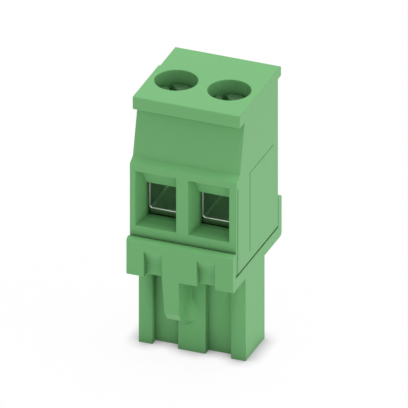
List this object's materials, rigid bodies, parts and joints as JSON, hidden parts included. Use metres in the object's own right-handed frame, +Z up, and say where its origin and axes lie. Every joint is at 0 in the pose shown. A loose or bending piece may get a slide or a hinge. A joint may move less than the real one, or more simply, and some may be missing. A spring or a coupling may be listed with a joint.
{
  "type": "pluggable terminal block",
  "caption": "Pluggable screw terminal block with square wire entries, rising clamp cages turned from above and a keyed plug end with a latch tongue.",
  "frame": {"origin": "centre of the outer box at the plug end, on which the block stands", "axes": "+Z up from the plug end to the screw wells, -Y out of the wire entries, X across the poles"},
  "size_m": [0.0102, 0.012, 0.0255],
  "materials": {
    "housing_plastic": "satin moulded",
    "cage_steel": "zinc plated",
    "screw_steel": "zinc plated",
    "contact_metal": "tin plated"
  },
  "bodies": {
    "housing": {"upper_housing": "housing_plastic", "lower_housing": "housing_plastic", "contact_1": "contact_metal", "contact_2": "contact_metal"},
    "screw_1": {"clamp_screw_1": "screw_steel"},
    "screw_2": {"clamp_screw_2": "screw_steel"},
    "cage_1": {"clamp_cage_1": "cage_steel"},
    "cage_2": {"clamp_cage_2": "cage_steel"}
  },
  "joints": [
    {"name": "screw_turn_1", "type": "hinge", "parent": "housing", "child": "screw_1", "pos_m": [-0.00264, -0.00005, 0.021], "axis": [0, 0, -1], "range_deg": [0, 2280]},
    {"name": "cage_rise_1", "type": "slide", "parent": "housing", "child": "cage_1", "axis": [0, 0, 1], "range_m": [0, 0.00285]},
    {"name": "screw_turn_2", "type": "hinge", "parent": "housing", "child": "screw_2", "pos_m": [0.00244, -0.00005, 0.021], "axis": [0, 0, -1], "range_deg": [0, 2280]},
    {"name": "cage_rise_2", "type": "slide", "parent": "housing", "child": "cage_2", "axis": [0, 0, 1], "range_m": [0, 0.00285]}
  ],
  "couplings": [
    {"joint": "screw_turn_1", "follows": "cage_rise_1", "rad_per_m": 13963},
    {"joint": "screw_turn_2", "follows": "cage_rise_2", "rad_per_m": 13963}
  ]
}
